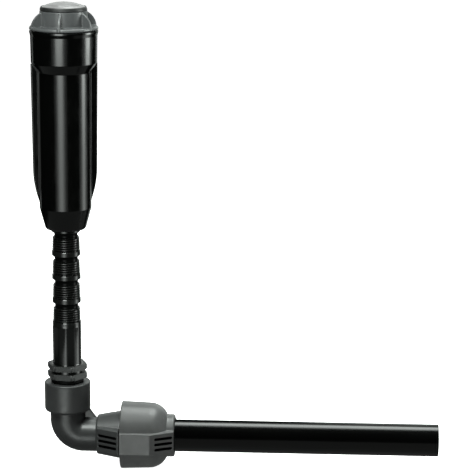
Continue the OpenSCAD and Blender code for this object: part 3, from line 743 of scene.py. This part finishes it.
def make_lid():
    low, high = span("lid")
    radius = (high.x - low.x) / 2
    edge = high.z - 3.7
    rise = high.z - edge
    dome = (radius * radius + rise * rise) / (2 * rise)
    start = math.degrees(math.asin((edge - high.z + dome) / dome))
    middle = math.degrees(math.acos(LID_STEP_R / dome))
    inner = radius - 1.55
    corners = [(0.001, low.z, 0), (inner, low.z, 0.2), (inner, low.z + 1.15, 0.1),
               (radius, low.z + 1.15, 0.1), (radius, edge - 0.55, 0), (radius - 0.1, edge - 0.2, 0),
               (radius - 0.35, edge + 0.02, 0)]
    border = arc(high.z - dome, dome, start + 2.2, middle - 1.2, 16)
    border.append((LID_STEP_R + 0.35, border[-1][1] - 0.05, 0))
    disc = arc(high.z - dome - LID_STEP * 0.2, dome, middle, 90, 30)
    trench = (LID_STEP_R + 0.15, disc[0][1] - LID_STEP, 0)
    corners += border + [trench, (LID_STEP_R - 0.1, trench[1] + 0.02, 0)]
    corners += [(max(r, 0.001), z, 0) for r, z, _ in disc[1:]]
    turned_piece("lid_disc", corners, "turret", "lid_grey", "lid")


def make_lid_ring():
    """A rubber rim, upright below and sloping in to the lid above a fine groove."""
    low, high = span("lid_ring")
    outer = (high.x - low.x) / 2
    seat = (span("lid")[1].x - span("lid")[0].x) / 2 + 0.05
    corners = [(seat - 1.5, low.z, 0), (outer - 0.3, low.z, 0.25), (outer, low.z + 0.3, 0.25),
               (outer, low.z + 1.15, 0.2), (outer - 0.3, low.z + 1.4, 0.1),
               (outer - 0.15, low.z + 1.7, 0.2), (seat + 0.3, high.z, 0.25), (seat, high.z, 0.1),
               (seat, low.z + 1, 0), (seat - 1.5, low.z + 1, 0)]
    turned_piece("cover_rim", corners, "turret", "cover_rubber", "lid_ring")


def make_socket_seal():
    low, high = span("elbow_thread_seal")
    outer = (high.x - low.x) / 2
    corners = [(10.6, low.z + 1.1, 0), (10.6, low.z, 0.2), (outer - 0.5, low.z + 1.4, 0.3),
               (outer, low.z + 2.6, 0.4), (outer, high.z - 0.5, 0.4), (outer - 0.6, high.z, 0.2),
               (10.95, high.z, 0)]
    turned_piece("socket_seal", corners, "housing", "seal_rubber", "elbow_thread_seal")


def make_spring():
    """Round wire wound along a helix."""
    low, high = span("retraction_spring")
    wire = 0.75
    outer = (high.x - low.x) / 2
    turns, per_turn, sides = 9, 48, 12
    mean = outer - wire
    rise = high.z - low.z - 2 * wire
    rows = []
    steps = turns * per_turn
    for i in range(steps + 1):
        a = 2 * math.pi * i / per_turn
        z = low.z + wire + rise * i / steps
        row = []
        for k in range(sides):
            b = 2 * math.pi * k / sides
            r = mean + wire * math.cos(b)
            row.append((r * math.cos(a), r * math.sin(a), z + wire * math.sin(b)))
        rows.append(row)
    bm = bmesh.new()
    grid_mesh(bm, rows, on_riser, closed=False)
    spring = finish_piece(new_object("spring_wire", bm, 60), "cartridge", "spring_steel",
                          "retraction_spring")
    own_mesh(spring)


def make_stem():
    low, high = span("stem_tube")
    outer = (high.x - low.x) / 2
    bore = 12.9
    corners = [(bore, low.z, 0), (outer, low.z, 0.3), (outer, high.z, 0.35), (bore, high.z, 0.2)]
    turned_piece("stem_sleeve", corners, "stem", "inner_black", "stem_tube")


def make_turret():
    body = moulded_copy("turning_head", "turret_body", voxel=0.3, smoothing=3)
    finish_piece(body, "turret", "inner_black", "turret_body")
    tip = moulded_copy("nozzle_insert", "nozzle", voxel=0.2, smoothing=3)
    finish_piece(tip, "turret", "nozzle_grey", "nozzle")


def make_wiper():
    low, high = span("wiper_seal")
    lip, relief, waist, outer = 14.56, 15.06, 15.6, 16.3
    corners = [(lip, low.z, 0), (outer, low.z, 0.3), (outer, low.z + 2.4, 0.3),
               (waist, low.z + 4, 0.4), (waist, high.z - 3, 0.4), (outer, high.z - 2, 0.3),
               (outer, high.z, 0.4), (lip, high.z, 0.3), (lip, high.z - 1.6, 0.2),
               (relief, high.z - 3, 0.2), (relief, low.z + 2, 0.2), (lip, low.z + 1.2, 0.2)]
    turned_piece("wiper_lip", corners, "cartridge", "seal_rubber", "wiper_seal")


# ---------------------------------------------------------------- camera, floor and light

def aim(obj, point):
    obj.rotation_euler = (point - obj.location).to_track_quat("-Z", "Y").to_euler()


def make_camera():
    """A long lens, a little above the lid's level and a hair to the right of square."""
    azimuth, elevation, roll = math.radians(2.19), math.radians(12.73), math.radians(0.44)
    target = Vector((RISER_X + 129.6, 0, 161.3)) * MM
    distance = 1.564
    back = Vector((math.sin(azimuth) * math.cos(elevation), -math.cos(azimuth) * math.cos(elevation),
                   math.sin(elevation)))
    right = Vector((math.cos(azimuth), math.sin(azimuth), 0))
    up = back.cross(right)
    tilt = Matrix.Rotation(roll, 3, back)
    right, up = tilt @ right, tilt @ up
    data = bpy.data.cameras.new("camera")
    data.sensor_width = 36
    data.lens = 156.9
    data.clip_end = 50
    camera = bpy.data.objects.new("camera", data)
    camera.matrix_world = Matrix((
        (right.x, up.x, back.x, 0), (right.y, up.y, back.y, 0), (right.z, up.z, back.z, 0),
        (0, 0, 0, 1)))
    camera.location = target + back * distance
    bpy.context.scene.collection.objects.link(camera)
    bpy.context.scene.camera = camera


FLOOR_Z = cad_box[0].z - 0.0004


def make_floor():
    """A plain white sweep of floor just under the lowest piece, kept out of reflections."""
    bm = bmesh.new()
    bmesh.ops.create_grid(bm, x_segments=2, y_segments=2, size=9)
    floor = new_object("floor", bm)
    floor.location = (0, 0, FLOOR_Z)
    m = Nodes("floor_white")
    cloud = m.noise(m.place(), 6.0, 2.0)
    m.link(m.mix(m.remap(cloud, 0, 1), (0.84, 0.84, 0.84), (0.86, 0.86, 0.86)),
           m.shader.inputs["Base Color"])
    m.shader.inputs["Roughness"].default_value = 0.9
    m.shader.inputs["Emission Color"].default_value = (1, 1, 1, 1)
    m.shader.inputs["Emission Strength"].default_value = 0.93
    floor.data.materials.append(m.material)
    floor.visible_glossy = False
    floor.visible_diffuse = False


LAMP_TINT = (0.94, 1.0, 0.965)   # the studio lamps are a shade green


def area_light(name, where, width, tall, glow):
    """A soft rectangle of light; glow is its brightness as the object sees it."""
    data = bpy.data.lights.new(name, "AREA")
    data.shape = "RECTANGLE"
    data.size, data.size_y = width, tall
    data.energy = glow * math.pi * width * tall
    data.color = LAMP_TINT
    light = bpy.data.objects.new(name, data)
    light.location = where
    light.visible_camera = False
    bpy.context.scene.collection.objects.link(light)
    return light


BAND_GAP = 0.004            # lights in one plane would hide one another


def softbox(name, azimuth, distance, head, bands):
    """An upright light facing the riser, brightest at the middle of its upper part.

    It stands at an azimuth from the front, towards +X. Each band is (width, foot,
    glow) and reaches from its foot up to head. The bands stand close behind one another
    and add up, which makes the edges fade.
    """
    a = math.radians(azimuth)
    axis = Vector((RISER_X * MM, 0, 0))
    where = axis + Vector((math.sin(a), -math.cos(a), 0)) * distance
    lights = []
    for i, (width, foot, glow) in enumerate(bands):
        height = Vector((0, 0, (foot + head) / 2))
        behind = where + (where - axis).normalized() * BAND_GAP * i
        light = area_light(f"{name}_{i}", behind + height, width, head - foot, glow)
        aim(light, axis + height)
        lights.append(light)
    return lights


def link_light(name, lights, pieces, state):
    """Makes lights reach only some pieces (INCLUDE) or all but some (EXCLUDE)."""
    group = bpy.data.collections.new(name)
    for i, piece in enumerate(pieces):
        group.objects.link(piece)
        group.collection_objects[i].light_linking.link_state = state
    for light in lights:
        light.light_linking.receiver_collection = group


def make_lights(pipe, elbow, nut):
    axis = Vector((RISER_X * MM, 0, 0))
    fitting = (elbow, nut)
    front = softbox("front_strip", azimuth=-10, distance=1.0, head=0.9, bands=(
        (1.00, -0.25, 0.35), (0.66, -0.25, 0.8), (0.42, -0.25, 1.1), (0.22, -0.25, 0.9),
        (0.44, 0.0, 0.8), (0.44, 0.06, 0.9), (0.46, 0.11, 2.0)))
    side = softbox("side_strip", azimuth=96, distance=1.1, head=1.1, bands=(
        (0.95, -0.36, 0.45), (0.60, -0.36, 0.8), (0.34, -0.36, 1.0), (0.20, -0.36, 0.8),
        (0.36, 0.01, 2.0), (0.36, 0.06, 1.8), (0.44, 0.11, 3.6)))
    softbox("right_edge", azimuth=160, distance=1.4, head=1.0, bands=((0.50, -0.4, 0.6),))
    softbox("left_edge", azimuth=-134, distance=1.6, head=1.2, bands=((0.28, -0.4, 0.45),))

    # over the pipe, a little behind it, for the line along its top
    over_pipe = axis + Vector((0.36, 0.56, 1.5))
    for i, (depth, glow) in enumerate(((0.6, 4.5), (1.0, 3.6))):
        level = over_pipe + Vector((0, 0, BAND_GAP * i))
        aim(area_light(f"overhead_{i}", level, 0.9, depth, glow), Vector((over_pipe.x, 0, 0)))

    # the key brings out the tops and leaves the ribs' and wings' far sides in shade
    knee = axis + Vector((0, 0, 0.1))
    key = area_light("key", axis + Vector((-0.25, -0.75, 1.5)), 0.5, 0.5, 24.0)
    aim(key, knee)
    canopy = area_light("canopy", axis + Vector((0.1, -0.2, 1.7)), 1.3, 1.0, 2.6)
    aim(canopy, knee)
    # behind the object, for its far sides
    backdrop = area_light("backdrop", axis + Vector((0, 1.8, 0.75)), 2.4, 0.8, 0.9)
    aim(backdrop, axis + Vector((0, 0, 0.75)))
    # a low light of their own for the elbow and the nut, which the strips pass by
    socket = softbox("socket_glow", azimuth=-10, distance=1.0, head=-0.12, bands=(
        (0.4, -0.42, 2.0), (0.8, -0.42, 1.4), (1.3, -0.42, 0.9)))

    link_light("not_on_pipe_or_fitting", front, (pipe, *fitting), "EXCLUDE")
    link_light("not_on_fitting", side, fitting, "EXCLUDE")
    link_light("not_on_pipe", [canopy, backdrop], (pipe,), "EXCLUDE")
    link_light("not_on_pipe_or_nut", [key], (pipe, nut), "EXCLUDE")
    link_light("only_on_fitting", socket, fitting, "INCLUDE")

    # what a pale table top throws back up at the shoulder, the bend and the pipe
    table = area_light("table_glow", Vector((axis.x + 0.13, -0.08, FLOOR_Z + 0.0002)),
                       0.95, 0.6, 0.15)
    table.rotation_euler = (math.pi, 0, 0)

    world = bpy.data.worlds.new("studio")
    bpy.context.scene.world = world
    world.use_nodes = True
    world.node_tree.nodes["Background"].inputs["Color"].default_value = (1, 1, 1, 1)
    world.node_tree.nodes["Background"].inputs["Strength"].default_value = 0.10
    world.cycles_visibility.glossy = False
    bpy.context.scene.view_settings.view_transform = "Standard"


make_camera()
pipe = make_pipe()
make_riser()
make_can()
elbow, nut = make_fitting()
make_cap()
make_lid()
make_lid_ring()
make_socket_seal()
make_spring()
make_stem()
make_turret()
make_wiper()
make_floor()
make_lights(pipe, elbow, nut)
